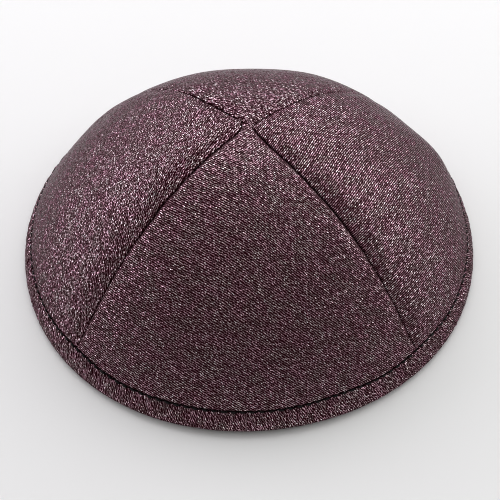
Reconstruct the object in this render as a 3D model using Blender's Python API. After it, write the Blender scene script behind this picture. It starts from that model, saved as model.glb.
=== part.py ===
"""Kippah skullcap: four cloth gores sewn into a stiff shallow dome, with a binding folded round the rim.

Metres, +Z up, the front gore towards -Y. The cap rests on its rim at z = 0 with the hollow downwards.
A place on the dome is an azimuth, in radians from the front towards +X, and a climb, which runs along the
side curve from 0 at the rim to 1 at the crown.
"""

import math

import bmesh
import bpy
import numpy as np
from mathutils import Vector

# The dome
RIM_DIAMETER = 0.164
CROWN_HEIGHT = 0.0566
CROWN_FORWARD = 0.0008  # how far the crown sits towards the front
CROWN_SQUARENESS = 2.8  # 2 is round, more pulls the crown towards a square with a corner on each seam

# The cloth
GORE_WALL = 0.0012  # cloth and its stiffening together
BINDING_CLOTH = 0.0010
BINDING_WIDTH = 0.0079  # of each of its two legs, measured up the side
FOLD_ROUND = 0.0011  # radius of the fold's two lower corners
PIECE_GAP = 0.0003
STEP_RUN = 0.0010  # length of the step where a gore goes in under the binding
SEAM_DIP = 0.0008  # how deep the cloth is drawn in at a seam
SEAM_DIP_REACH = 0.0045  # how far to each side of a seam the dip spreads
TIP_RADIUS = 0.0008  # where the gores stop short of the crown's centre

# How finely the cloth is divided
GORE_COLUMNS = 20
GORE_ROWS = 22
EDGE_CROWDING = 0.8  # 0 spaces the columns evenly, 1 crowds them most towards the seams

# The side curve's four control points: out is a share of the rim's radius, up of the crown's height.
SIDE_CURVE = (
    {"out": 1.000, "up": 0.000},
    {"out": 1.030, "up": 0.039},
    {"out": 0.629, "up": 1.029},
    {"out": 0.000, "up": 1.000},
)

# The seams in order round the cap, in degrees. Near the crown a seam swings round by up to its swing.
SEAMS = (
    {"azimuth": -45.0, "swing": -15.0},
    {"azimuth": 45.0, "swing": -11.0},
    {"azimuth": 135.0, "swing": -2.0},
    {"azimuth": 225.0, "swing": 2.0},
)
SWING_REACH = 0.12  # the share of the climb over which a swing dies away

# Each gore lies between the seam of the same place in the list and the next one.
GORES = ("panel_front", "panel_right", "panel_back", "panel_left")

# How the rim departs from a circle: crests point at the crest's azimuth, heights are shares of the radius.
RIM_WAVES = (
    {"lobes": 2, "crest": -45.0, "share": 0.0107},
    {"lobes": 3, "crest": 5.0, "share": 0.0054},
    {"lobes": 4, "crest": -37.0, "share": 0.0074},
)

# Soft dents and swells of the side, in degrees and in shares of the climb and of the rim's radius.
SWELLS = (
    {"place": "flat back", "azimuth": 178.0, "climb": 0.43, "across": 24.0, "along": 0.18, "share": -0.015},
    {"place": "right back", "azimuth": 112.0, "climb": 0.36, "across": 9.0, "along": 0.16, "share": 0.015},
    {"place": "left back", "azimuth": -130.0, "climb": 0.40, "across": 10.0, "along": 0.18, "share": 0.010},
)

# Colour, roughness and metallic value of the two cloths
GORE_FINISH = ((0.105, 0.058, 0.070), 0.45, 0.45)
BINDING_FINISH = ((0.085, 0.046, 0.056), 0.50, 0.40)

RIM_RADIUS = RIM_DIAMETER / 2
RIM_THICKNESS = 2 * BINDING_CLOTH + 2 * PIECE_GAP + GORE_WALL


def side_curve(climb):
    """Radius and height of the plain dome: a cubic curve through its four control points."""
    rest = 1 - climb
    weights = (rest**3, 3 * rest**2 * climb, 3 * rest * climb**2, climb**3)
    radius = RIM_RADIUS * sum(w * point["out"] for w, point in zip(weights, SIDE_CURVE))
    height = CROWN_HEIGHT * sum(w * point["up"] for w, point in zip(weights, SIDE_CURVE))
    return radius, height


CLIMBS = np.linspace(0.0, 1.0, 401)
LENGTHS = np.append(0.0, np.cumsum(np.hypot(*np.diff(np.array(side_curve(CLIMBS)), axis=1))))


def climb_at(length):
    """The climb at a length of cloth above the rim."""
    return float(np.interp(length, LENGTHS, CLIMBS))


def length_at(climb):
    """The length of cloth from the rim up to a climb."""
    return float(np.interp(climb, CLIMBS, LENGTHS))


def smooth_rise(share):
    """0 below 0, 1 above 1, and an even S between them."""
    share = min(max(share, 0.0), 1.0)
    return share * share * (3 - 2 * share)


def turn_between(one, other):
    """The smaller angle between two azimuths."""
    return abs(math.remainder(one - other, 2 * math.pi))


def squared(azimuth, climb):
    """A ring's radius factor: a circle in the lower half, towards the crown more and more a soft square."""
    power = 2 + (CROWN_SQUARENESS - 2) * min(max(2 * climb - 1, 0.0), 1.0)
    factor = (abs(math.cos(azimuth)) ** power + abs(math.sin(azimuth)) ** power) ** (-1 / power)
    return factor / (0.5 + 2 ** (-0.5 - 1 / power))


def dome(azimuth, climb):
    """A point of the form that the cloth is stretched to, before the seams draw it in."""
    radius, height = side_curve(climb)
    wave = sum(
        row["share"] * math.cos(row["lobes"] * (azimuth - math.radians(row["crest"]))) for row in RIM_WAVES
    )
    swell = 0.0
    for row in SWELLS:
        across = turn_between(azimuth, math.radians(row["azimuth"])) / math.radians(row["across"])
        along = (climb - row["climb"]) / row["along"]
        swell += row["share"] * math.exp(-(across**2) - along**2)
    radius = radius * squared(azimuth, climb) + RIM_RADIUS * (wave * (1 - climb) + swell)
    return Vector((
        radius * math.sin(azimuth),
        -radius * math.cos(azimuth) - CROWN_FORWARD * climb**2,
        height + 0.5 * RIM_RADIUS * swell * smooth_rise(climb / SWELLS[0]["along"]),
    ))


def outward(azimuth, climb):
    """The dome's normal, brought level towards the rim so that the binding has a flat foot."""
    step = 0.001
    across = dome(azimuth + step, climb) - dome(azimuth - step, climb)
    along = dome(azimuth, climb + step) - dome(azimuth, climb - step)
    normal = across.cross(along).normalized()
    normal.z = max(normal.z, 0.0) * min(length_at(climb) / BINDING_WIDTH, 1.0)
    return normal.normalized()


def seam_azimuth(place, climb):
    """Where a seam runs at a climb. Places past the last seam go on round the cap."""
    turns, index = divmod(place, len(SEAMS))
    seam = SEAMS[index]
    swing = seam["swing"] * math.exp(-(1 - climb) / SWING_REACH)
    return math.radians(seam["azimuth"] + swing) + turns * 2 * math.pi


def seam_dip(azimuth, climb):
    """How deep the seams draw the cloth in: a soft bell across each seam, none under the binding."""
    radius = side_curve(climb)[0]
    level = 1.0
    for place in range(len(SEAMS)):
        away = radius * turn_between(azimuth, seam_azimuth(place, climb))
        level *= 1 - math.exp(-((away / SEAM_DIP_REACH) ** 2))
    above_binding = smooth_rise(length_at(climb) / BINDING_WIDTH - 1)
    return SEAM_DIP * (1 - level) * above_binding


def skin(azimuth, climb, depth):
    """A point at a depth below the cap's outer face."""
    return dome(azimuth, climb) - outward(azimuth, climb) * (seam_dip(azimuth, climb) + depth)


def column_share(column, columns):
    """How far across a gore a column lies, 0 to 1, crowded towards both seams."""
    even = column / columns
    crowded = 0.5 - 0.5 * math.cos(math.pi * even)
    return even + EDGE_CROWDING * (crowded - even)


def gore_rows():
    """Each row of a gore from its lower edge to its tip: climb, depth and how many columns it has."""
    hidden = BINDING_CLOTH + PIECE_GAP
    step_foot = BINDING_WIDTH + PIECE_GAP / 2
    step_top = step_foot + STEP_RUN
    tip = length_at(1.0) - TIP_RADIUS
    rows = [(hidden, hidden), (BINDING_WIDTH / 2, hidden), (step_foot, hidden)]
    rows += [(step_top + (tip - step_top) * i / GORE_ROWS, 0.0) for i in range(GORE_ROWS + 1)]
    counted = []
    for length, depth in rows:
        climb = climb_at(length)
        share = side_curve(climb)[0] / RIM_RADIUS
        halvings = (share < 0.35) + (share < 0.14)
        counted.append((climb, depth, GORE_COLUMNS >> halvings))
    return counted


def gore_face(body, place, extra_depth):
    """One face of a gore as rows of points. Where a row has half the columns of the last, cells have five sides."""
    rows = []
    for climb, depth, columns in gore_rows():
        half_gap = PIECE_GAP / 2 / side_curve(climb)[0]
        start = seam_azimuth(place, climb) + half_gap
        end = seam_azimuth(place + 1, climb) - half_gap
        azimuths = (start + (end - start) * column_share(i, columns) for i in range(columns + 1))
        rows.append([body.verts.new(skin(azimuth, climb, depth + extra_depth)) for azimuth in azimuths])
    for lower, upper in zip(rows, rows[1:]):
        each = (len(lower) - 1) // (len(upper) - 1)
        for i in range(len(upper) - 1):
            body.faces.new(lower[each * i : each * (i + 1) + 1] + [upper[i + 1], upper[i]])
    return rows


def around(rows):
    """The points round a face's edge: along the bottom, up the right side, back over the tip and down the left."""
    return rows[0] + [row[-1] for row in rows[1:]] + rows[-1][-2::-1] + [row[0] for row in rows[-2:0:-1]]


def gore_body(place):
    """A gore as a closed bmesh: its outer and inner faces and the cut edge all round between them."""
    body = bmesh.new()
    outer = around(gore_face(body, place, 0.0))
    inner = around(gore_face(body, place, GORE_WALL))
    for i in range(len(outer)):
        body.faces.new((outer[i - 1], outer[i], inner[i], inner[i - 1]))
    bmesh.ops.recalc_face_normals(body, faces=body.faces)
    return body


def binding_section():
    """The folded strip's outline as lengths up the side and depths: up the outer face and back round the inside."""
    corner = FOLD_ROUND * (1 - math.sqrt(0.5))
    inner = RIM_THICKNESS
    return (
        (BINDING_WIDTH, 0.0),
        (BINDING_WIDTH / 2, 0.0),
        (FOLD_ROUND, 0.0),
        (corner, corner),
        (0.0, FOLD_ROUND),
        (0.0, inner - FOLD_ROUND),
        (corner, inner - corner),
        (FOLD_ROUND, inner),
        (BINDING_WIDTH / 2, inner),
        (BINDING_WIDTH, inner),
        (BINDING_WIDTH, inner - BINDING_CLOTH),
        (BINDING_WIDTH / 2, inner - BINDING_CLOTH),
        (BINDING_CLOTH, inner - BINDING_CLOTH),
        (BINDING_CLOTH, BINDING_CLOTH),
        (BINDING_WIDTH / 2, BINDING_CLOTH),
        (BINDING_WIDTH, BINDING_CLOTH),
    )


def binding_ring():
    """The binding's section carried round the rim, with the gores' own columns, as a closed bmesh."""
    ring = bmesh.new()
    sections = []
    for place in range(len(SEAMS)):
        start = seam_azimuth(place, 0.0)
        end = seam_azimuth(place + 1, 0.0)
        for column in range(GORE_COLUMNS):
            azimuth = start + (end - start) * column_share(column, GORE_COLUMNS)
            points = (skin(azimuth, climb_at(length), depth) for length, depth in binding_section())
            sections.append([ring.verts.new(point) for point in points])
    for one, other in zip(sections, sections[1:] + sections[:1]):
        for i in range(len(one)):
            ring.faces.new((one[i - 1], one[i], other[i], other[i - 1]))
    bmesh.ops.recalc_face_normals(ring, faces=ring.faces)
    return ring


def add_piece(name, shape, finish, parent):
    """Puts a bmesh into the scene as one named object with its own cloth material."""
    mesh = bpy.data.meshes.new(name)
    shape.to_mesh(mesh)
    shape.free()
    mesh.shade_smooth()
    mesh.set_sharp_from_angle(angle=math.radians(40))
    cloth = bpy.data.materials.new(name + "_cloth")
    cloth.use_nodes = True
    colour, roughness, metallic = finish
    surface = cloth.node_tree.nodes["Principled BSDF"]
    surface.inputs["Base Color"].default_value = (*colour, 1.0)
    surface.inputs["Roughness"].default_value = roughness
    surface.inputs["Metallic"].default_value = metallic
    mesh.materials.append(cloth)
    piece = bpy.data.objects.new(name, mesh)
    piece.parent = parent
    bpy.context.scene.collection.objects.link(piece)


for old in list(bpy.data.objects):
    bpy.data.objects.remove(old, do_unlink=True)

skullcap = bpy.data.objects.new("skullcap", None)
bpy.context.scene.collection.objects.link(skullcap)

for place, name in enumerate(GORES):
    add_piece(name, gore_body(place), GORE_FINISH, skullcap)

add_piece("rim_binding", binding_ring(), BINDING_FINISH, skullcap)
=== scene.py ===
"""Kippah skullcap in dark plum metallic twill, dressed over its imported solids.

Metres, +Z up, the front gore towards -Y. A place on the cap is an azimuth, in radians from the front
towards +X, and a climb, which runs along the side curve from 0 at the rim to 1 at the crown.
"""

import math

import bpy
import numpy as np
from mathutils import Matrix


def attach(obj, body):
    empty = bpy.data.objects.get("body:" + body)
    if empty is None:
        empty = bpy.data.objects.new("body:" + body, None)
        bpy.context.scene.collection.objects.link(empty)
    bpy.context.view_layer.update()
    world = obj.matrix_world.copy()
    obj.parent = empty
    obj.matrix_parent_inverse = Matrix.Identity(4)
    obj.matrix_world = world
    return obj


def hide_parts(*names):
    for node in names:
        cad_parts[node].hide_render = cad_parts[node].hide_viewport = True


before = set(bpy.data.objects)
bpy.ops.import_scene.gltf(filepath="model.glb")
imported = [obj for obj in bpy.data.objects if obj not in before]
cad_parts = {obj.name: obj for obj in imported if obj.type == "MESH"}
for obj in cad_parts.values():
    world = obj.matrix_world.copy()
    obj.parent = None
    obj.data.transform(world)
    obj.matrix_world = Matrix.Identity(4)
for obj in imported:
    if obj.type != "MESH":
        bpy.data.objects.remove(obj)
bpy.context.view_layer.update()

# The gores
# Four curved triangles of stiffened twill whose weft is a flat metallic thread. Each is cut the same way of
# the cloth and sewn to its neighbours with plain seams, whose edges turn in and draw the cloth into a valley.
RIM_RADIUS = 0.082
CROWN_HEIGHT = 0.0566
CROWN_FORWARD = 0.0008
CROWN_SQUARENESS = 2.8
SIDE_CURVE = (  # control points: share of the rim's radius outwards, share of the crown's height upwards
    {"out": 1.000, "up": 0.000},
    {"out": 1.030, "up": 0.039},
    {"out": 0.629, "up": 1.029},
    {"out": 0.000, "up": 1.000},
)
RIM_WAVES = (  # how the rim departs from a circle
    {"lobes": 2, "crest": -45.0, "share": 0.0107},
    {"lobes": 3, "crest": 5.0, "share": 0.0054},
    {"lobes": 4, "crest": -37.0, "share": 0.0074},
)
RIM_LIFT = 0.0016  # the rim's front stands off the table by this, and further out by this share of it
RIM_LIFT_OUT = 0.85
RIM_LIFT_REACH = math.radians(34)
SWELLS = (  # soft dents and swells of the side, in degrees and in shares of the climb and of the radius
    {"place": "flat back", "azimuth": 178.0, "climb": 0.43, "across": 24.0, "along": 0.18, "share": -0.015},
    {"place": "right back", "azimuth": 112.0, "climb": 0.36, "across": 9.0, "along": 0.16, "share": 0.015},
    {"place": "left back", "azimuth": -130.0, "climb": 0.40, "across": 10.0, "along": 0.18, "share": 0.010},
)
SWELL_UP = 0.5  # how much of a swell goes upwards
SWELL_FOOT = 0.18  # the climb over which it starts to


def side_curve(climb):
    """Radius and height of the plain dome: a cubic curve through its four control points."""
    rest = 1 - climb
    weights = np.stack([rest**3, 3 * rest**2 * climb, 3 * rest * climb**2, climb**3])
    outs = np.array([point["out"] for point in SIDE_CURVE])
    ups = np.array([point["up"] for point in SIDE_CURVE])
    return RIM_RADIUS * np.tensordot(outs, weights, 1), CROWN_HEIGHT * np.tensordot(ups, weights, 1)


CLIMBS = np.linspace(0.0, 1.0, 2001)
LENGTHS = np.append(0.0, np.cumsum(np.hypot(*np.diff(np.array(side_curve(CLIMBS)), axis=1))))
SIDE_LENGTH = LENGTHS[-1]


def climb_at(length):
    """The climb at a length of cloth above the rim."""
    return np.interp(length, LENGTHS, CLIMBS)


def smooth_rise(share):
    """0 below 0, 1 above 1, and the even S 3x^2 - 2x^3 between them."""
    share = np.clip(share, 0.0, 1.0)
    return share * share * (3 - 2 * share)


def turn_between(one, other):
    """The angle from one azimuth to another, from -pi to pi."""
    return np.remainder(one - other + np.pi, 2 * np.pi) - np.pi


def dome(azimuth, climb):
    """The form the cloth is stretched to. The side curve is turned round the crown and squared towards the
    top by (|cos|^p + |sin|^p)^(-1/p), over its mean at 0 and 45 degrees. The rim's waves fade upwards, each
    swell is a bell in azimuth and climb, and the front's lift is a bell in azimuth times (1 - climb)^4."""
    radius, height = side_curve(climb)
    power = 2 + (CROWN_SQUARENESS - 2) * np.clip(2 * climb - 1, 0.0, 1.0)
    squared = (np.abs(np.cos(azimuth)) ** power + np.abs(np.sin(azimuth)) ** power) ** (-1 / power)
    squared = squared / (0.5 + 2 ** (-0.5 - 1 / power))
    wave = 0.0
    for row in RIM_WAVES:
        wave = wave + row["share"] * np.cos(row["lobes"] * (azimuth - math.radians(row["crest"])))
    swell = 0.0
    for row in SWELLS:
        across = turn_between(azimuth, math.radians(row["azimuth"])) / math.radians(row["across"])
        along = (climb - row["climb"]) / row["along"]
        swell = swell + row["share"] * np.exp(-(across**2) - along**2)
    front = RIM_LIFT * np.exp(-((turn_between(azimuth, 0.0) / RIM_LIFT_REACH) ** 2)) * (1 - climb) ** 4
    radius = radius * squared + RIM_RADIUS * (wave * (1 - climb) + swell) + RIM_LIFT_OUT * front
    height = height + front + SWELL_UP * RIM_RADIUS * swell * smooth_rise(climb / SWELL_FOOT)
    forward = radius * np.cos(azimuth) + CROWN_FORWARD * climb**2
    return np.stack([radius * np.sin(azimuth), -forward, height], axis=-1)


BINDING_WIDTH = 0.0078  # of each leg of the folded strip, measured up the side


def outward(azimuth, climb):
    """The dome's normal, the cross product of its two slopes, brought level towards the rim."""
    step = 0.001
    climb = np.minimum(climb, 1 - 2 * step)
    across = dome(azimuth + step, climb) - dome(azimuth - step, climb)
    along = dome(azimuth, climb + step) - dome(azimuth, climb - step)
    normal = np.cross(across, along)
    normal /= np.linalg.norm(normal, axis=-1, keepdims=True)
    level = np.minimum(np.interp(climb, CLIMBS, LENGTHS) / BINDING_WIDTH, 1.0)
    normal[..., 2] = np.maximum(normal[..., 2], 0.0) * level
    return normal / np.linalg.norm(normal, axis=-1, keepdims=True)


chance = np.random.default_rng(7)


def wander(count, shortest, longest):
    """Rows of wavelength, phase and strength for an irregular line: a few waves of evenly spread lengths."""
    lengths = np.geomspace(shortest, longest, count) * chance.uniform(0.85, 1.15, count)
    return lengths, chance.uniform(0, 2 * np.pi, count), chance.uniform(0.6, 1.0, count) / count**0.5


def wander_at(waves, distance):
    """The sum of strength x sin(2 pi distance / length + phase) over the waves, about -1 to 1."""
    total = 0.0
    for length, phase, strength in zip(*waves):
        total = total + strength * np.sin(2 * np.pi * distance / length + phase)
    return total


# Each seam runs down from the crown at its azimuth and bows sideways by up to bow, most at bow_at from the
# crown. The cloth sinks into it over one reach on the side of the smaller azimuths and another on the other
# side, and its two turned edges stand a gap apart. Sinks and gaps are those near the crown and near the rim,
# and the seam passes from the one to the other between its two distances from the crown.
SEAMS = {
    "front left": {
        "azimuth": -45.0, "bow": -0.0003, "bow_at": 0.014, "closes": (0.035, 0.085),
        "sinks": (0.0012, 0.0011), "gaps": (0.00046, 0.00016), "reaches": (0.0042, 0.0014),
    },
    "front right": {
        "azimuth": 45.0, "bow": -0.0018, "bow_at": 0.020, "closes": (0.035, 0.080),
        "sinks": (0.0012, 0.0010), "gaps": (0.00050, 0.00014), "reaches": (0.0014, 0.0036),
    },
    "back right": {
        "azimuth": 135.0, "bow": -0.0010, "bow_at": 0.024, "closes": (0.010, 0.040),
        "sinks": (0.0004, 0.0005), "gaps": (0.00016, 0.00010), "reaches": (0.0022, 0.0022),
    },
    "back left": {
        "azimuth": 225.0, "bow": 0.0011, "bow_at": 0.011, "closes": (0.014, 0.034),
        "sinks": (0.0008, 0.0003), "gaps": (0.00044, 0.00008), "reaches": (0.0022, 0.0030),
    },
}
for seam in SEAMS.values():
    seam["line"] = wander(6, 0.006, 0.040)
SEAM_UNEVEN = 0.00016  # how far the seam line strays
SEAM_STEADY = 0.010  # from the crown, within which it strays less
CROWN_SINK = 0.0007  # where all seams meet
CROWN_SINK_REACH = 0.012
CROSSING = np.array([0.0004, -0.0008, 0.0])  # the seams' crossing, from the crown's centre
CROSSING_REACH = 0.005
MEETING = 0.0038  # the front left seam ends on the back left one, this far from the crossing
MEETING_REACH = 0.0024
END_GAP_SHARE = 0.2  # of the front left seam's gap, which is left at its end
END_GAP_START = 0.002
END_GAP_REACH = 0.006
GORES = (  # ripple is the height of a gore's soft unevenness
    {"node": "panel_front", "left": "front left", "right": "front right", "ripple": 0.00007},
    {"node": "panel_right", "left": "front right", "right": "back right", "ripple": 0.00014},
    {"node": "panel_back", "left": "back right", "right": "back left", "ripple": 0.00012},
    {"node": "panel_left", "left": "back left", "right": "front left", "ripple": 0.00014},
)


def seam_place(name, away):
    """Azimuth, climb and sideways slide of a seam at a distance from the crown. The bow is
    bow x (away / bow_at) x exp(1 - away / bow_at), and the slide, which carries the seam from the crown's
    centre to where it really ends, dies away as exp(-away / reach)."""
    seam = SEAMS[name]
    climb = climb_at(SIDE_LENGTH - away)
    radius = np.maximum(side_curve(climb)[0], 1e-5)
    share = away / seam["bow_at"]
    aside = seam["bow"] * share * np.exp(1 - share)
    aside = aside + SEAM_UNEVEN * wander_at(seam["line"], away) * np.minimum(away / SEAM_STEADY, 1.0)
    azimuth = np.radians(seam["azimuth"]) + aside / radius
    if name == "front left":
        crown = dome(0.0, np.array(1.0))
        end = edge_point("back left", np.array(MEETING)) - crown
        slide = end * np.exp(-away / MEETING_REACH)[..., None]
    else:
        slide = CROSSING * np.exp(-away / CROSSING_REACH)[..., None]
    return azimuth, climb, slide


def edge_point(name, away):
    """A seam's point on the dome."""
    azimuth, climb, slide = seam_place(name, away)
    return dome(azimuth, climb) + slide


def gore_edge(gore, side, away):
    """A gore's edge, row by row: its own seam, but the left gore stops where its seams meet, and the front
    gore goes on round that point along the back left seam to the crossing."""
    name = gore[side]
    if gore["node"] == "panel_left" and side == "left":
        return seam_place(name, MEETING + away * (1 - MEETING / SIDE_LENGTH))
    if gore["node"] == "panel_front" and side == "left":
        corner = MEETING / 2
        up_to = seam_place(name, np.maximum(away - corner, 0.0) * SIDE_LENGTH / (SIDE_LENGTH - corner))
        beyond = seam_place("back left", np.minimum(away / corner, 1.0) * MEETING)
        before = away > corner
        return tuple(
            np.where(before[..., None] if one.ndim > before.ndim else before, one, other)
            for one, other in zip(up_to, beyond)
        )
    return seam_place(name, away)


def seam_value(name, key, away):
    """A seam's sink or gap: its value near the crown, its value near the rim, and an S between them. Close to
    the crown every seam has the same sink, and the front left one's gap closes at its end."""
    seam = SEAMS[name]
    near, far = seam["closes"]
    at_crown, at_rim = seam[key]
    value = at_crown + (at_rim - at_crown) * smooth_rise((away - near) / (far - near))
    if key == "sinks":
        return CROWN_SINK + (value - CROWN_SINK) * smooth_rise(away / CROWN_SINK_REACH)
    if name == "front left":
        opened = smooth_rise((away - END_GAP_START) / END_GAP_REACH)
        return value * (END_GAP_SHARE + (1 - END_GAP_SHARE) * opened)
    return value


TIP_REACH = 0.006  # from the crown, within which a gore's rows are straight


def gore_place(gore, share, away):
    """A gore's azimuth, climb and point before the seams draw it in. Across a row the azimuth goes evenly
    from seam to seam, and close to the crown the row becomes a straight line between them."""
    left, left_climb, left_slide = gore_edge(gore, "left", away)
    right, right_climb, right_slide = gore_edge(gore, "right", away)
    right = left + np.remainder(right - left, 2 * np.pi)
    azimuth = left + (right - left) * share
    climb = left_climb + (right_climb - left_climb) * share
    across = share[..., None]
    arc = dome(azimuth, climb) + left_slide * (1 - across) + right_slide * across
    start = dome(left, left_climb) + left_slide
    end = dome(right, right_climb) + right_slide
    chord = start + (end - start) * across
    near = np.exp(-((away / TIP_REACH) ** 2))[..., None]
    return azimuth, climb, arc + (chord - arc) * near


GORE_WALL = 0.0012
BINDING_CLOTH = 0.0010
PIECE_GAP = 0.0003
STITCH_PITCH = 0.0031
STITCH_COUNT = round(2 * math.pi * RIM_RADIUS / STITCH_PITCH)
STITCH_SLANTS = chance.uniform(0.2, 1.5, STITCH_COUNT)
STITCH_SLANT = 0.00042  # how much higher a stitch starts than it ends
HOLE_SHARE = 0.16  # of a stitch's length, round its needle hole
HEM_RISES = (  # where the binding reaches higher than elsewhere, in degrees and metres
    {"azimuth": -45.0, "across": 9.0, "rise": 0.0009},
    {"azimuth": 22.0, "across": 9.0, "rise": 0.0008},
    {"azimuth": 47.0, "across": 11.0, "rise": 0.0010},
    {"azimuth": 135.0, "across": 14.0, "rise": 0.0008},
    {"azimuth": 225.0, "across": 14.0, "rise": 0.0008},
)


def stitch_at(azimuth):
    """The number of the stitch at an azimuth, and the share of its length passed there."""
    passed = np.remainder(azimuth / (2 * np.pi), 1.0) * STITCH_COUNT
    number = np.minimum(passed.astype(int), STITCH_COUNT - 1)
    return number, passed - number


def binding_edge(azimuth):
    """How far up the side the binding reaches: its width, bells where it rises, and a saw-toothed slant, one
    tooth a stitch."""
    number, share = stitch_at(azimuth)
    tooth = np.interp(share, [0.0, HOLE_SHARE, 1.0], [-0.5, 0.5, -0.5])
    height = BINDING_WIDTH + STITCH_SLANT * STITCH_SLANTS[number] * tooth
    for row in HEM_RISES:
        apart = turn_between(azimuth, math.radians(row["azimuth"])) / math.radians(row["across"])
        height = height + row["rise"] * np.exp(-(apart**2))
    return height


def hole_nearness(azimuth, reach):
    """1 at a stitch's needle hole, dying away round the rim as exp(-(distance / reach)^2)."""
    share = stitch_at(azimuth)[1]
    distance = np.minimum(share, 1 - share) * STITCH_PITCH
    return np.exp(-((distance / reach) ** 2))


ROW_STEP = 0.00066
HEM_ROW_STEP = 0.0002  # close set from below the hem to above it
HEM_BELOW = 0.001
HEM_ABOVE = 0.0034
TIP_GAP = 0.00012


def row_distances():
    """Distances of a gore's rows from the crown, from its hidden lower edge to its tip."""
    hidden = BINDING_CLOTH + PIECE_GAP
    hem = np.arange(BINDING_WIDTH - HEM_BELOW, BINDING_WIDTH + HEM_ABOVE, HEM_ROW_STEP)
    side = np.linspace(hem[-1], SIDE_LENGTH - TIP_GAP, round((SIDE_LENGTH - hem[-1]) / ROW_STEP))
    return SIDE_LENGTH - np.concatenate([[hidden, 0.5 * BINDING_WIDTH], hem, side[1:]])


TRACK_SAMPLES = 65


def row_width(gore, away):
    """The length of each row of a gore, from seam to seam."""
    samples = np.linspace(0.0, 1.0, TRACK_SAMPLES)[None, :]
    track = gore_place(gore, samples, away)[2]
    return np.linalg.norm(np.diff(track, axis=1), axis=-1).sum(axis=1)[:, None]


SEAM_ROLL = 0.00055  # radius of a gore's edge where it turns down into the seam
MOST_ROLL = 0.25  # of a narrow row's width
MOST_GAP = 0.1
ROLL_STEPS = 6
COLUMNS = 200
COLUMN_CROWDING = 0.55


def row_places(gore, away, width):
    """Where a row's columns lie on the outer face, as distances from its left seam line, how deep the rolled
    edges bring them, and half the gap at either seam. The columns crowd towards the seams, each at a mix of
    its even share x and (1 - cos(pi x)) / 2, and the roll is a quarter circle."""
    roll = np.minimum(SEAM_ROLL, MOST_ROLL * width)
    angle = np.linspace(90, 0, ROLL_STEPS, endpoint=False)[None, :] * np.pi / 180
    edge_depth = roll * (1 - np.cos(angle))
    gaps = [seam_value(gore[side], "gaps", away) for side in ("left", "right")]
    half_gaps = [np.minimum(gap / 2, MOST_GAP * width) for gap in gaps]
    edges = [half_gap + roll * (1 - np.sin(angle)) for half_gap in half_gaps]
    even = np.linspace(0.0, 1.0, COLUMNS)
    crowded = 0.5 - 0.5 * np.cos(np.pi * even)
    columns = (even + COLUMN_CROWDING * (crowded - even))[None, :]
    middle = half_gaps[0] + roll + (width - sum(half_gaps) - 2 * roll) * columns
    outer = np.concatenate([edges[0], middle, width - edges[1][:, ::-1]], axis=1)
    sink = np.concatenate([edge_depth, np.zeros_like(middle), edge_depth[:, ::-1]], axis=1)
    return outer, sink, half_gaps


CROWN_REACH = 0.016  # from the crown, within which the cloth is all but flat


def cut_cloth(gore, azimuth, climb, away, point):
    """Where a point lies on the gore as it was cut, from the crown: at its distance away, turned by its width
    over that distance, and near the crown as it is seen from above."""
    radius = side_curve(climb)[0]
    centre = np.radians(SEAMS[gore["left"]]["azimuth"] + 45)
    turned = turn_between(azimuth, centre) * radius / np.maximum(away, 1e-6)
    flat = np.stack([away * np.sin(turned), -away * np.cos(turned)], axis=-1)
    plan = (point - dome(0.0, np.array(1.0)))[..., :2]
    plan = plan @ np.array([[math.cos(centre), -math.sin(centre)], [math.sin(centre), math.cos(centre)]])
    return flat + (plan - flat) * np.exp(-((away / CROWN_REACH) ** 4))[..., None]


def ripples(count, shortest, longest):
    """Rows of kx, ky, phase and strength: waves of random direction, longer ones higher."""
    lengths = np.geomspace(shortest, longest, count)
    turns = chance.uniform(0, np.pi, count)
    strength = (lengths / longest) ** 0.8 / count**0.5
    return np.stack([
        2 * np.pi / lengths * np.cos(turns), 2 * np.pi / lengths * np.sin(turns),
        chance.uniform(0, 2 * np.pi, count), strength,
    ], axis=1)


def ripple_at(waves, flat):
    """The sum of strength x sin(kx x + ky y + phase) over the waves, in cut-cloth coordinates."""
    total = 0.0
    for kx, ky, phase, strength in waves:
        total = total + strength * np.sin(kx * flat[..., 0] + ky * flat[..., 1] + phase)
    return total


SEAM_PUCKER = 0.00007
PUCKER_REACH = 0.0022
HEM_CALM = 0.006  # above the hem, over which it holds the cloth flat
HEM_ROLL = 0.0009  # length over which the cloth turns in under the binding
HEM_ROLL_START = 0.0001  # below the binding's edge
HEM_PULL = 0.00030
HEM_PULL_REACH = 0.0018
HEM_PULL_LEAST = 0.5  # share of it between two needle holes
HOLE_PULL_REACH = 0.0008


def seam_dip(gore, left, right, away):
    """How far the seams draw the cloth in, at distances from the left and right one: a bell beside each, as
    deep as that seam's sink, joined as 1 - (1 - left)(1 - right)."""
    left_share = np.exp(-((left / SEAMS[gore["left"]]["reaches"][1]) ** 2))
    right_share = np.exp(-((right / SEAMS[gore["right"]]["reaches"][0]) ** 2))
    left_sink = seam_value(gore["left"], "sinks", away)
    right_sink = seam_value(gore["right"], "sinks", away)
    deepest = (left_sink * left_share + right_sink * right_share) / (left_share + right_share + 1e-9)
    return deepest * (1 - (1 - left_share) * (1 - right_share))


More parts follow.
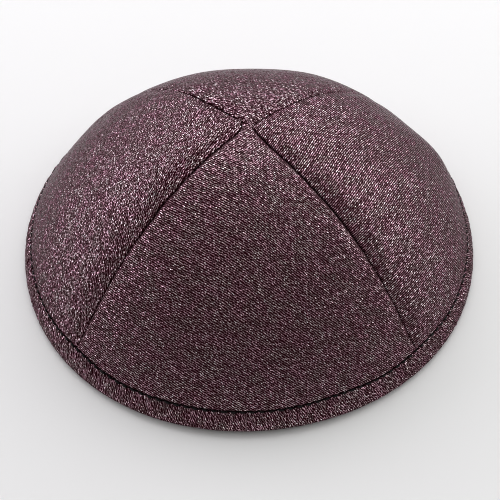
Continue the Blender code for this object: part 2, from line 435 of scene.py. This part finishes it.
def cloth_depths(gore, azimuth, flat, left, right, away):
    """Three depths of the cloth below the dome: in the seams and their puckers; in its ripples and where the
    stitches pull it; and where it turns in under the binding's edge, as one less the root of an S."""
    length = SIDE_LENGTH - away
    hem = binding_edge(azimuth)
    above = smooth_rise((length - hem) / HEM_CALM)
    dip = seam_dip(gore, left, right, away) * above
    for side, waves in zip((left, right), gore["puckers"]):
        dip = dip + SEAM_PUCKER * wander_at(waves, away) * np.exp(-side / PUCKER_REACH) * above
    ripple = gore["ripple"] * ripple_at(gore["ripples"], flat) * above
    pull = HEM_PULL * np.exp(-(np.maximum(length - hem, 0.0)) / HEM_PULL_REACH)
    pull = pull * (HEM_PULL_LEAST + hole_nearness(azimuth, HOLE_PULL_REACH))
    turned_in = 1 - smooth_rise((length - hem + HEM_ROLL_START) / HEM_ROLL) ** 0.5
    return dip, pull - ripple, (BINDING_CLOTH + PIECE_GAP) * turned_in


SEAM_CLOSED = 0.00006  # between two gores on the inside


def gore_grid(gore):
    """A gore as a grid of rows by a closed ring of columns: over the outer face from seam to seam, rolled
    down at each edge, and back along the inner face. Points, cut-cloth coordinates."""
    away = row_distances()[:, None]
    width = row_width(gore, away)
    outer, sink, half_gaps = row_places(gore, away, width)
    azimuth, climb, point = gore_place(gore, np.clip(outer / width, 0.0, 1.0), away)
    flat = cut_cloth(gore, azimuth, climb, away, point)
    dip, rough, under = cloth_depths(gore, azimuth, flat, outer, width - outer, away)
    outer_point = point - outward(azimuth, climb) * (dip + rough + under + sink)[..., None]

    passed = (outer - half_gaps[0]) / (width - sum(half_gaps))
    inner_share = np.clip((SEAM_CLOSED / 2 + (width - SEAM_CLOSED) * passed) / width, 0.0, 1.0)
    azimuth, climb, point = gore_place(gore, inner_share, away)
    inner_point = point - outward(azimuth, climb) * (dip + under + GORE_WALL)[..., None]
    points = np.concatenate([outer_point, inner_point[:, ::-1]], axis=1)
    return points, np.concatenate([flat, flat[:, ::-1]], axis=1)


def ring_faces(rows, ring, closed_rows):
    """Quads of a grid whose rows are closed rings. An open stack of rings is capped at both ends by pairing
    each ring's first half with its second half."""
    row, column = np.meshgrid(np.arange(rows if closed_rows else rows - 1), np.arange(ring), indexing="ij")
    above = (row + 1) % rows
    beside = (column + 1) % ring
    corners = [row * ring + column, row * ring + beside, above * ring + beside, above * ring + column]
    quads = np.stack(corners, axis=-1).reshape(-1, 4)
    if closed_rows:
        return quads
    step = np.arange(ring // 2 - 1)
    cap = np.stack([ring - 1 - step, ring - 2 - step, step + 1, step], axis=1)
    return np.concatenate([quads, cap, cap[:, ::-1] + (rows - 1) * ring])


def cloth_piece(name, points, flat, faces):
    """A grid of points and its quads as a smooth mesh object, with the cut-cloth coordinates as UVs."""
    mesh = bpy.data.meshes.new(name)
    mesh.from_pydata(points.reshape(-1, 3), [], faces)
    layer = mesh.uv_layers.new(name="cut_cloth")
    corners = np.zeros(len(mesh.loops), dtype=np.int32)
    mesh.loops.foreach_get("vertex_index", corners)
    layer.data.foreach_set("uv", flat.reshape(-1, 2)[corners].astype(np.float32).ravel())
    mesh.shade_smooth()
    mesh.update()
    piece = bpy.data.objects.new(name, mesh)
    bpy.context.scene.collection.objects.link(piece)
    return piece


def add(tree, kind, *values, **settings):
    """Adds a shader node, sets its settings, and fills its inputs in order: a socket is linked, anything else
    but None is set. Returns the node."""
    node = tree.nodes.new(kind)
    for key, value in settings.items():
        setattr(node, key, value)
    for socket, value in zip(node.inputs, values):
        if isinstance(value, bpy.types.NodeSocket):
            tree.links.new(value, socket)
        elif value is not None:
            socket.default_value = value
    return node


def maths(tree, operation, *values):
    """The result of a Math node."""
    return add(tree, "ShaderNodeMath", *values, operation=operation).outputs[0]


def vector_maths(tree, operation, *values):
    """The result of a Vector Math node."""
    return add(tree, "ShaderNodeVectorMath", *values, operation=operation).outputs[0]


def scaled(tree, vector, factor):
    """A vector or colour times a number."""
    return vector_maths(tree, "SCALE", vector, None, None, factor)


def ramp(tree, value, *ends):
    """A value brought from one range to another, without going past its ends."""
    return add(tree, "ShaderNodeMapRange", value, *ends).outputs[0]


def arch(tree, share):
    """sin(pi x) of a share x: 0 at both its ends and 1 in the middle."""
    return maths(tree, "SINE", maths(tree, "MULTIPLY", share, math.pi))


def noise(tree, place, scale, detail, output):
    """A flat noise over the cloth, as a number ("Fac") or as a colour of three of them ("Color")."""
    return add(tree, "ShaderNodeTexNoise", place, None, scale, detail, noise_dimensions="2D").outputs[output]


def swing(tree, colour):
    """A colour of three random numbers as a vector that points any way, with parts from -0.5 to 0.5."""
    return vector_maths(tree, "SUBTRACT", colour, (0.5, 0.5, 0.5))


# The scales of the noises, in waves per metre of cloth
BEND_SCALE = 420.0  # of the bends of the ribs
PAINTED_SPARKLE_SCALE = 1500.0  # of the painted sparkle that neighbouring floats share
CRINKLE_SCALE = 700.0
PATCH_SCALE = 210.0  # of the patches of slightly different hue
BRICK_SHIFT = 0.37  # of a float, from each rib to the next
SPREAD = (0.7549, 0.5698)  # steps of an even spread over ribs and floats, so that bright ones stand apart
SPREAD_CHANCE = 0.65
RIB_SHARPNESS = 6.0
FLOAT_PROFILE = (0.65, 0.45)  # how much a float rises to its middle, and how much it has at its ends
SHINE = (1.20, 0.18)  # of the brightest float over the dullest, and of the dullest; the dullest is the foil's own brightness, the spread above it is painted sparkle
PAINTED_SPARKLE_POWER = 1.8
PAINTED_GLINT_POWER = 30.0
PAINTED_HIGHLIGHT_PALENESS = (0.0, 0.20, 0.16)  # how much paler a float is painted the more it shines, a painted highlight's whiteness
DULL_TINT = (1.0, 0.93, 0.95)
PATCH_COLOURS = ((1.08, 0.95, 1.03, 1.0), (0.92, 1.05, 0.97, 1.0))
PAINTED_GLINT_COLOUR = (1.1, 1.0, 1.02)
MOST_COLOUR = (0.95, 0.95, 0.95)
TWILL_INPUTS = (
    ("Cloth", "Vector"), ("Rib Angle", "Float"), ("Rib Pitch", "Float"), ("Float Length", "Float"),
    ("Crumple", "Float"), ("Painted Sparkle Grain", "Float"), ("Stray", "Float"), ("Lean", "Float"), ("Crinkle", "Float"),
    ("Ground", "Color"), ("Foil", "Color"),
)
TWILL_OUTPUTS = (("Colour", "Color"), ("Metal", "Float"), ("Normal", "Vector"))


def weave_floats(group, given):
    """Cuts the bent cloth into ribs, and each rib into floats shifted like bricks. A float's profile is a high
    power of sin(pi x) across its rib, moved aside by its own stray, times a soft arch along it. Returns the
    profile, the float's lean, and a random number for it that is spread evenly over its neighbours."""
    cloth = given["Cloth"]
    bend = swing(group, noise(group, cloth, BEND_SCALE, 2.0, "Color"))
    bent = vector_maths(group, "ADD", cloth, scaled(group, bend, given["Crumple"]))
    turned = add(group, "ShaderNodeVectorRotate", bent, (0, 0, 0), (0, 0, 1), given["Rib Angle"]).outputs[0]
    parts = add(group, "ShaderNodeSeparateXYZ", turned).outputs
    across = maths(group, "DIVIDE", parts["Y"], given["Rib Pitch"])
    rib = maths(group, "FLOOR", across)
    along = maths(group, "DIVIDE", parts["X"], given["Float Length"])
    along = maths(group, "MULTIPLY_ADD", rib, BRICK_SHIFT, along)
    number = maths(group, "FLOOR", along)

    place = add(group, "ShaderNodeCombineXYZ", rib, number, 0.0).outputs[0]
    own = add(group, "ShaderNodeTexWhiteNoise", place, noise_dimensions="2D").outputs
    lean = swing(group, own["Color"])
    steps = maths(group, "MULTIPLY_ADD", rib, SPREAD[0], maths(group, "MULTIPLY", number, SPREAD[1]))
    even = maths(group, "FRACT", maths(group, "MULTIPLY_ADD", own["Value"], SPREAD_CHANCE, steps))

    aside = add(group, "ShaderNodeSeparateXYZ", lean).outputs["Z"]
    within_rib = maths(group, "FRACT", maths(group, "MULTIPLY_ADD", aside, given["Stray"], across))
    rib_profile = maths(group, "POWER", arch(group, within_rib), RIB_SHARPNESS)
    float_profile = maths(group, "MULTIPLY_ADD", arch(group, maths(group, "FRACT", along)), *FLOAT_PROFILE)
    return maths(group, "MULTIPLY", rib_profile, float_profile), lean, even


def weave_colour(group, given, profile, even):
    """The weave's colour and its metal: the ground, and the foil times its shine, painted paler the more it
    shines as a painted highlight, with a rare painted glint. A float's shine is the foil's own brightness plus
    painted sparkle: its random number to a power, times a slow noise that swings it up and down by the gore's
    painted sparkle amount, times its profile."""
    cloth = given["Cloth"]
    least = maths(group, "SUBTRACT", 1.0, given["Painted Sparkle Grain"])
    most = maths(group, "ADD", 1.0, given["Painted Sparkle Grain"])
    # Painted sparkle in clumps: a slow noise lightens and darkens groups of floats, stronger on the side and
    # back gores than on the front.
    slow = ramp(group, noise(group, cloth, PAINTED_SPARKLE_SCALE, 1.0, "Fac"), 0.30, 0.70, least, most)
    # Painted sparkle: each float's random brightness is painted into the colour, standing in for floats tilted
    # towards or away from the lamps.
    foil_and_painted_sparkle = maths(group, "MULTIPLY_ADD", maths(group, "POWER", even, PAINTED_SPARKLE_POWER), *SHINE)
    shine = maths(group, "MULTIPLY", maths(group, "MULTIPLY", foil_and_painted_sparkle, slow), profile)
    # Painted glint: a rare float is painted pale, standing in for a float that catches a lamp.
    painted_glint = maths(group, "POWER", even, PAINTED_GLINT_POWER)
    painted_glint = maths(group, "MULTIPLY", painted_glint, maths(group, "POWER", profile, 2.0))

    patch = ramp(group, noise(group, cloth, PATCH_SCALE, 2.0, "Fac"), 0.35, 0.65, 0.0, 1.0)
    tint = add(group, "ShaderNodeMix", data_type="RGBA")
    group.links.new(patch, tint.inputs["Factor"])
    tint.inputs["A"].default_value, tint.inputs["B"].default_value = PATCH_COLOURS
    # Painted highlight: the foil's own dull tint, turned whiter the brighter a float is painted, as a metal's
    # highlight is.
    tint_and_painted_paleness = vector_maths(group, "MULTIPLY_ADD", shine, PAINTED_HIGHLIGHT_PALENESS, DULL_TINT)
    foil = vector_maths(group, "MULTIPLY", given["Foil"], tint_and_painted_paleness)
    foil = vector_maths(group, "MULTIPLY", foil, tint.outputs["Result"])
    colour = vector_maths(group, "ADD", scaled(group, foil, shine), given["Ground"])
    colour = vector_maths(group, "ADD", colour, scaled(group, PAINTED_GLINT_COLOUR, painted_glint))
    return vector_maths(group, "MINIMUM", colour, MOST_COLOUR), ramp(group, shine, 0.0, 0.4, 0.0, 0.95)


def weave_normal(group, given, lean):
    """The way the surface faces, plus each float's own lean, plus a slow crinkle of the whole cloth."""
    facing = add(group, "ShaderNodeNewGeometry").outputs["Normal"]
    facing = vector_maths(group, "ADD", facing, scaled(group, lean, given["Lean"]))
    crinkle = swing(group, noise(group, given["Cloth"], CRINKLE_SCALE, 1.0, "Color"))
    facing = vector_maths(group, "ADD", facing, scaled(group, crinkle, given["Crinkle"]))
    return vector_maths(group, "NORMALIZE", facing)


def twill_group():
    """The metallic twill as a node group over the cut cloth: its colour, its metal and its facing."""
    group = bpy.data.node_groups.new("metallic_twill", "ShaderNodeTree")
    for name, kind in TWILL_INPUTS:
        group.interface.new_socket(name, in_out="INPUT", socket_type="NodeSocket" + kind)
    for name, kind in TWILL_OUTPUTS:
        group.interface.new_socket(name, in_out="OUTPUT", socket_type="NodeSocket" + kind)
    given = group.nodes.new("NodeGroupInput").outputs
    result = group.nodes.new("NodeGroupOutput").inputs
    profile, lean, even = weave_floats(group, given)
    colour, metal = weave_colour(group, given, profile, even)
    group.links.new(colour, result["Colour"])
    group.links.new(metal, result["Metal"])
    group.links.new(weave_normal(group, given, lean), result["Normal"])
    return group


metallic_twill = twill_group()
FLOAT_LEAN = 0.5
GROUND_COLOUR = (0.018, 0.0006, 0.0030)
FOIL_COLOUR = (0.84, 0.54, 0.615)


def twill_material(name, rib_angle, rib_pitch, weave):
    """A cloth of the metallic twill: the weave's colour, metal and facing over the cut-cloth coordinates."""
    material = bpy.data.materials.new(name)
    material.use_nodes = True
    tree = material.node_tree
    surface = tree.nodes["Principled BSDF"]
    twill = add(tree, "ShaderNodeGroup", node_tree=metallic_twill)
    tree.links.new(add(tree, "ShaderNodeUVMap", uv_map="cut_cloth").outputs[0], twill.inputs["Cloth"])
    twill.inputs["Rib Angle"].default_value = -math.radians(rib_angle)
    twill.inputs["Rib Pitch"].default_value = rib_pitch
    twill.inputs["Float Length"].default_value = weave["float"]
    twill.inputs["Crumple"].default_value = weave["crumple"]
    twill.inputs["Painted Sparkle Grain"].default_value = weave["painted_sparkle_grain"]
    twill.inputs["Stray"].default_value = weave["stray"]
    twill.inputs["Lean"].default_value = FLOAT_LEAN
    twill.inputs["Crinkle"].default_value = weave["crinkle"]
    twill.inputs["Ground"].default_value = (*GROUND_COLOUR, 1.0)
    twill.inputs["Foil"].default_value = (*FOIL_COLOUR, 1.0)
    tree.links.new(twill.outputs["Normal"], surface.inputs["Normal"])
    tree.links.new(twill.outputs["Colour"], surface.inputs["Base Color"])
    tree.links.new(twill.outputs["Metal"], surface.inputs["Metallic"])
    surface.inputs["Roughness"].default_value = 0.28
    surface.inputs["Specular IOR Level"].default_value = 0.02
    surface.inputs["Specular Tint"].default_value = (0.20, 0.12, 0.15, 1.0)
    return material


RIB_ANGLE = 147.0
RIB_PITCH = 0.00065
# How each gore's cloth lies: the bends of its ribs in metres, how unevenly it shines, which is partly the
# foil's own unevenness and partly painted sparkle, set stronger on the side and back gores where the lamps
# glint than on the front, how far a float strays across its rib as a share of the pitch, how much the cloth
# crinkles, and the length of a float.
WEAVES = {
    "panel_front": {"crumple": 0.00026, "painted_sparkle_grain": 0.25, "stray": 0.40, "crinkle": 0.40, "float": 0.00047},
    "panel_right": {"crumple": 0.00014, "painted_sparkle_grain": 0.80, "stray": 0.26, "crinkle": 0.40, "float": 0.00056},
    "panel_back": {"crumple": 0.00022, "painted_sparkle_grain": 1.00, "stray": 0.65, "crinkle": 0.80, "float": 0.00060},
    "panel_left": {"crumple": 0.00026, "painted_sparkle_grain": 0.85, "stray": 0.60, "crinkle": 0.80, "float": 0.00048},
}
GORE_AREA = float(np.trapz(side_curve(CLIMBS)[0], LENGTHS) * math.pi / 2)


def dress_gore(gore):
    """Makes a gore's cloth, gives it its twill, and lets it stand for its solid."""
    gore["puckers"] = (wander(7, 0.0024, 0.011), wander(7, 0.0024, 0.011))
    gore["ripples"] = ripples(12, 0.010, 0.045)
    points, flat = gore_grid(gore)
    faces = ring_faces(points.shape[0], points.shape[1], closed_rows=False)
    name = gore["node"].replace("panel", "gore")
    piece = cloth_piece(name, points, flat, faces)
    piece.data.materials.append(twill_material(name + "_twill", RIB_ANGLE, RIB_PITCH, WEAVES[gore["node"]]))
    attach(piece, "root")
    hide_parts(gore["node"])


for gore in GORES:
    dress_gore(gore)

# The rim binding
# A bias strip of the same twill, folded round the gores' lower edge so that it covers it outside and inside.
# It is stitched along its upper edge, which gathers it into small uneven lumps below the stitches.
FOLD_ROUND = 0.0018
RIM_THICKNESS = 2 * BINDING_CLOTH + 2 * PIECE_GAP + GORE_WALL
COLUMNS_PER_STITCH = 9
EDGE_POINTS = 7
FOLD_POINTS = 6
OUTER_POINTS = 22
INNER_POINTS = 7


def binding_section(edge):
    """The strip's section as lengths up the side and depths, for each azimuth's edge height: over the rolled
    upper edge, down the outer face, round the fold, up the inner face, over its edge and back inside."""
    roll = BINDING_CLOTH / 2
    turn = np.linspace(0, np.pi, EDGE_POINTS)
    corner = np.linspace(0, np.pi / 2, FOLD_POINTS)
    top = edge[:, None] - roll
    low = FOLD_ROUND
    inner = RIM_THICKNESS
    face = np.linspace(1.0, 0.0, OUTER_POINTS)[None, 1:-1]
    coarse = np.linspace(1.0, 0.0, INNER_POINTS)[None, 1:-1]
    same = np.ones_like(top)
    lengths = [
        top + roll * np.sin(turn)[None, :],
        low + (top - low) * face,
        same * (low - low * np.sin(corner))[None, :],
        same * (low - low * np.cos(corner))[None, :],
        top + (low - top) * coarse,
        top + roll * np.sin(turn)[None, :],
        BINDING_CLOTH + (top - BINDING_CLOTH) * coarse,
        same * np.array([[BINDING_CLOTH, BINDING_CLOTH]]),
        top + (BINDING_CLOTH - top) * coarse,
    ]
    depths = [
        same * (roll + roll * np.cos(turn))[None, :],
        same * np.zeros_like(face),
        same * (low - low * np.cos(corner))[None, :],
        same * (inner - low + low * np.sin(corner))[None, :],
        same * np.full_like(coarse, inner),
        same * (inner - roll + roll * np.cos(turn))[None, :],
        same * np.full_like(coarse, inner - BINDING_CLOTH),
        same * np.array([[inner - BINDING_CLOTH, BINDING_CLOTH]]),
        same * np.full_like(coarse, BINDING_CLOTH),
    ]
    return np.concatenate(lengths, axis=1), np.concatenate(depths, axis=1)


BINDING_LUMP = 0.00016
LUMP_LOBES = range(60, 260, 9)  # round the rim
LUMP_LEAN = 900  # radians per metre down the strip, at most
LUMP_SUM = 3.0  # about the highest that the waves add up to
LUMP_DOWN = 0.0022  # from the edge to where the lumps are strongest, and how fast they fade
LUMP_LEAST = 0.4
HOLE_DEPTH = 0.00045
HOLE_REACH = 0.0005
HOLE_DOWN = 0.0008  # from the edge to the deepest place of a dimple
HOLE_FADE = 0.0013
HOLE_LEAN = 0.7  # how far a dimple slants round the rim as it goes down


def gathers(azimuth, length, edge):
    """Lumps of the gathered strip: waves round the rim that lean as they go down from the stitches, strongest
    just below them, and a dimple at each needle hole. A wave is cos(lobes x azimuth + lean x length +
    phase)."""
    random = np.random.default_rng(21)
    total = 0.0
    for lobes in LUMP_LOBES:
        lean = random.uniform(-LUMP_LEAN, LUMP_LEAN)
        height = random.uniform(0.5, 1.0)
        total = total + height * np.cos(lobes * azimuth + lean * length + random.uniform(0, 6.28))
    near = np.exp(-((edge - LUMP_DOWN - length) ** 2) / LUMP_DOWN**2)
    below = np.maximum(edge - length, 0.0)
    leaning = azimuth - HOLE_LEAN * below / RIM_RADIUS
    dimple = hole_nearness(leaning, HOLE_REACH) * np.exp(-((below - HOLE_DOWN) / HOLE_FADE) ** 2)
    lumps = BINDING_LUMP * total / LUMP_SUM * (LUMP_LEAST + (1 - LUMP_LEAST) * near)
    return lumps - HOLE_DEPTH * dimple


BINDING_PUFF = 0.00022
FOLD_PUFF = 0.3  # share of the puff and the lumps that is left at the fold
FOLD_CALM = 0.002


def binding_grid():
    """The strip as a grid of sections round the rim. Its outer face puffs out as sin(pi x)^0.8 from the fold
    to the edge, with the gathers on it. Points, cut-cloth coordinates."""
    count = COLUMNS_PER_STITCH * STITCH_COUNT
    azimuth = np.linspace(0, 2 * np.pi, count, endpoint=False)
    edge = binding_edge(azimuth)
    length, depth = binding_section(edge)
    around = np.broadcast_to(azimuth[:, None], length.shape)
    outside = smooth_rise(1 - depth / BINDING_CLOTH)
    rise = np.clip(length / edge[:, None], 0, 1)
    puff = BINDING_PUFF * np.sin(np.pi * rise) ** 0.8 + gathers(around, length, edge[:, None])
    puff = puff * (FOLD_PUFF + (1 - FOLD_PUFF) * smooth_rise(length / FOLD_CALM))
    climb = climb_at(length)
    points = dome(around, climb) - outward(around, climb) * (depth - puff * outside)[..., None]
    up = np.diff(length, axis=1, prepend=length[:, :1])
    inwards = np.diff(depth, axis=1, prepend=depth[:, :1])
    strip = np.cumsum(np.hypot(up, inwards), axis=1)
    return points, np.stack([around * RIM_RADIUS, strip], axis=-1)


BIAS_ANGLE = 62.0
BIAS_PITCH = 0.00066
BINDING_WEAVE = {"crumple": 0.00055, "painted_sparkle_grain": 0.15, "stray": 0.60, "crinkle": 0.30, "float": 0.00060}
points, flat = binding_grid()
faces = ring_faces(points.shape[0], points.shape[1], closed_rows=True)
binding = cloth_piece("rim_strip", points, flat, faces)
binding.data.materials.append(twill_material("binding_twill", BIAS_ANGLE, BIAS_PITCH, BINDING_WEAVE))
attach(binding, "root")
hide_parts("rim_binding")

# The hem stitches
# A topstitch in dark polyester thread, sunk into the ditch between the gores and the binding's edge, outside
# and inside. Each stitch dips at its ends, where the thread goes through the cloth.
STITCH_RADIUS = 0.00032
STITCH_UP = 0.00012  # from the binding's edge to the thread's middle
STITCH_DIP = 0.0005
STITCH_STEPS = 8
STITCH_SIDES = 8


def stitch_lines(depth, random):
    """The middle line of each stitch round the rim, at a depth below the outer face, and the cap's normals
    there. A stitch is a little shorter than its pitch and sinks by t^4 towards its ends, t from -1 to 1."""
    t = np.linspace(-1, 1, STITCH_STEPS + 2)
    middle = np.arange(STITCH_COUNT) + (1 + HOLE_SHARE) / 2 + random.uniform(-0.02, 0.02, STITCH_COUNT)
    half = (1 - HOLE_SHARE) / 2 * random.uniform(0.66, 0.96, STITCH_COUNT)
    azimuth = (middle[:, None] + half[:, None] * t) * 2 * np.pi / STITCH_COUNT
    climb = climb_at(binding_edge(azimuth) + STITCH_UP)
    normal = outward(azimuth, climb)
    inwards = 1 if depth < RIM_THICKNESS / 2 else -1
    return dome(azimuth, climb) - normal * (depth + inwards * STITCH_DIP * np.abs(t) ** 4)[..., None], normal


def stitch_points(line, normal):
    """Rings of points round each stitch's middle line, with a radius of sqrt(1 - t^4) of the full one, and
    then the line's two ends."""
    t = np.linspace(-1, 1, STITCH_STEPS + 2)
    ahead = np.gradient(line, axis=1)
    ahead /= np.linalg.norm(ahead, axis=-1, keepdims=True)
    side = np.cross(normal, ahead)[:, 1:-1, None]
    turn = np.linspace(0, 2 * np.pi, STITCH_SIDES, endpoint=False)[:, None]
    radius = STITCH_RADIUS * np.sqrt(np.maximum(1 - np.abs(t) ** 4, 0.0))
    round_line = np.cos(turn) * normal[:, 1:-1, None] + np.sin(turn) * side
    rings = line[:, 1:-1, None] + radius[None, 1:-1, None, None] * round_line
    return np.concatenate([rings.reshape(STITCH_COUNT, -1, 3), line[:, :1], line[:, -1:]], axis=1)


def stitch_faces(points_each):
    """Quads from ring to ring of every stitch, and a fan of triangles from its first and last ring to the
    line's ends."""
    ring, place = np.meshgrid(np.arange(STITCH_STEPS - 1), np.arange(STITCH_SIDES), indexing="ij")
    start = ring * STITCH_SIDES + place
    beside = ring * STITCH_SIDES + (place + 1) % STITCH_SIDES
    quads = np.stack([start, start + STITCH_SIDES, beside + STITCH_SIDES, beside], -1).reshape(-1, 4)
    one = np.arange(STITCH_SIDES)
    other = (one + 1) % STITCH_SIDES
    last = (STITCH_STEPS - 1) * STITCH_SIDES
    start_fan = np.stack([one, other, np.full_like(one, points_each - 2)], axis=1)
    end_fan = np.stack([other + last, one + last, np.full_like(one, points_each - 1)], axis=1)
    shift = (np.arange(STITCH_COUNT) * points_each)[:, None, None]
    quads = (quads[None] + shift).reshape(-1, 4)
    fans = (np.concatenate([start_fan, end_fan])[None] + shift).reshape(-1, 3)
    return [*quads.tolist(), *fans.tolist()]


def stitch_row(name, depth, random):
    """The stitches of one side of the hem as a smooth mesh object."""
    points = stitch_points(*stitch_lines(depth, random))
    mesh = bpy.data.meshes.new(name)
    mesh.from_pydata(points.reshape(-1, 3), [], stitch_faces(points.shape[1]))
    mesh.shade_smooth()
    piece = bpy.data.objects.new(name, mesh)
    bpy.context.scene.collection.objects.link(piece)
    return piece


thread = bpy.data.materials.new("hem_thread")
thread.use_nodes = True
surface = thread.node_tree.nodes["Principled BSDF"]
surface.inputs["Base Color"].default_value = (0.003, 0.0015, 0.002, 1.0)
surface.inputs["Roughness"].default_value = 0.6
surface.inputs["Specular IOR Level"].default_value = 0.2
HEM_ROWS = (  # depths below the outer face
    {"name": "hem_stitches_outside", "depth": 0.00020, "seed": 3},
    {"name": "hem_stitches_inside", "depth": RIM_THICKNESS - 0.0004, "seed": 4},
)
for hem_row in HEM_ROWS:
    row = stitch_row(hem_row["name"], hem_row["depth"], np.random.default_rng(hem_row["seed"]))
    row.data.materials.append(thread)
    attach(row, "root")

# The floor
# A plain pale table top that the cap stands on.
FLOOR_REACH = 2.0
corners = [(-FLOOR_REACH, -FLOOR_REACH, 0), (FLOOR_REACH, -FLOOR_REACH, 0)]
corners += [(FLOOR_REACH, FLOOR_REACH, 0), (-FLOOR_REACH, FLOOR_REACH, 0)]
floor_mesh = bpy.data.meshes.new("floor")
floor_mesh.from_pydata(corners, [], [(0, 1, 2, 3)])
floor = bpy.data.objects.new("floor", floor_mesh)
bpy.context.scene.collection.objects.link(floor)
pale = bpy.data.materials.new("pale_floor")
pale.use_nodes = True
surface = pale.node_tree.nodes["Principled BSDF"]
surface.inputs["Base Color"].default_value = (0.87, 0.87, 0.87, 1.0)
surface.inputs["Roughness"].default_value = 0.8
floor_mesh.materials.append(pale)

# The light
# Large soft lights behind, above and to both sides, and a little light from everywhere.
world = bpy.data.worlds.new("studio")
world.use_nodes = True
world.node_tree.nodes["Background"].inputs["Color"].default_value = (1.0, 1.0, 1.0, 1.0)
world.node_tree.nodes["Background"].inputs["Strength"].default_value = 0.30
bpy.context.scene.world = world


def stand_at(right, up, back, place):
    """The matrix that puts an object at a place, with its own x, y and z along the three directions."""
    rows = [*zip(right, up, back, place), (0, 0, 0, 1)]
    return Matrix(rows)


def soft_light(name, place, target, size, power, colour):
    """A rectangular light of that size at a place, facing a target, with its long side level."""
    lamp = bpy.data.lights.new(name, "AREA")
    lamp.shape = "RECTANGLE"
    lamp.size = size[0]
    lamp.size_y = size[1]
    lamp.energy = power
    lamp.color = colour
    holder = bpy.data.objects.new(name, lamp)
    bpy.context.scene.collection.objects.link(holder)
    back = np.array(place, float) - np.array(target, float)
    back /= np.linalg.norm(back)
    right = np.cross((0, 0, 1), back)
    right /= np.linalg.norm(right)
    holder.matrix_world = stand_at(right, np.cross(back, right), back, place)


COOL = (1.02, 0.97, 1.05)
WARM = (1.0, 1.01, 0.95)
WHITE = (1.0, 1.0, 1.0)
soft_light("light_above", (0.0, 0.0, 1.3), (0, 0.01, 0), (2.4, 2.2), 2.35, WARM)
soft_light("light_behind", (0.0, 0.75, 1.1), (0, 0.05, 0), (1.4, 1.0), 6.8, WHITE)
soft_light("light_low_behind", (0.0, 1.3, 0.55), (0, 0, 0.05), (2.0, 0.9), 5.8, COOL)
soft_light("light_left", (-1.2, 0.35, 0.40), (0, 0, 0.05), (1.2, 0.8), 5.1, COOL)
soft_light("light_left_behind", (-0.9, 1.0, 0.8), (0, 0, 0.05), (1.0, 0.8), 3.2, COOL)
soft_light("light_right", (1.2, 0.35, 0.5), (0, 0, 0.05), (1.2, 0.8), 4.9, WHITE)
soft_light("light_right_high", (0.95, 0.2, 1.0), (0, 0, 0.05), (1.0, 0.8), 0.6, WHITE)
soft_light("light_right_behind", (0.9, 1.0, 0.8), (0, 0, 0.05), (1.0, 0.8), 2.9, WHITE)
soft_light("light_front", (0.0, -0.4, 1.3), (0, 0.01, 0), (1.2, 0.8), 0.6, WARM)

# The camera
# Where the photograph was taken from: above the front, 0.4 m from the cap.
CAMERA_DISTANCE = 0.39941
CAMERA_ELEVATION = math.radians(49.63)
CAMERA_AIM = (0.00014, 0.017967, -0.028774)
CAMERA_YAW = math.radians(0.406)
CAMERA_ROLL = -0.00597
lens = bpy.data.cameras.new("camera")
lens.lens = 71.454
lens.sensor_width = 36.0
lens.clip_start = 0.01
camera = bpy.data.objects.new("camera", lens)
bpy.context.scene.collection.objects.link(camera)
level_right = np.array([1.0, 0.0, 0.0])
level_up = np.array([0.0, math.sin(CAMERA_ELEVATION), math.cos(CAMERA_ELEVATION)])
back = np.array([0.0, -math.cos(CAMERA_ELEVATION), math.sin(CAMERA_ELEVATION)])
right = math.cos(CAMERA_ROLL) * level_right - math.sin(CAMERA_ROLL) * level_up
up = math.sin(CAMERA_ROLL) * level_right + math.cos(CAMERA_ROLL) * level_up
stand = stand_at(right, up, back, np.array(CAMERA_AIM) + CAMERA_DISTANCE * back)
camera.matrix_world = Matrix.Rotation(CAMERA_YAW, 4, "Z") @ stand
bpy.context.scene.camera = camera
bpy.context.scene.view_settings.view_transform = "Standard"
bpy.context.scene.cycles.denoising_prefilter = "NONE"
bpy.context.scene.cycles.filter_width = 1.0
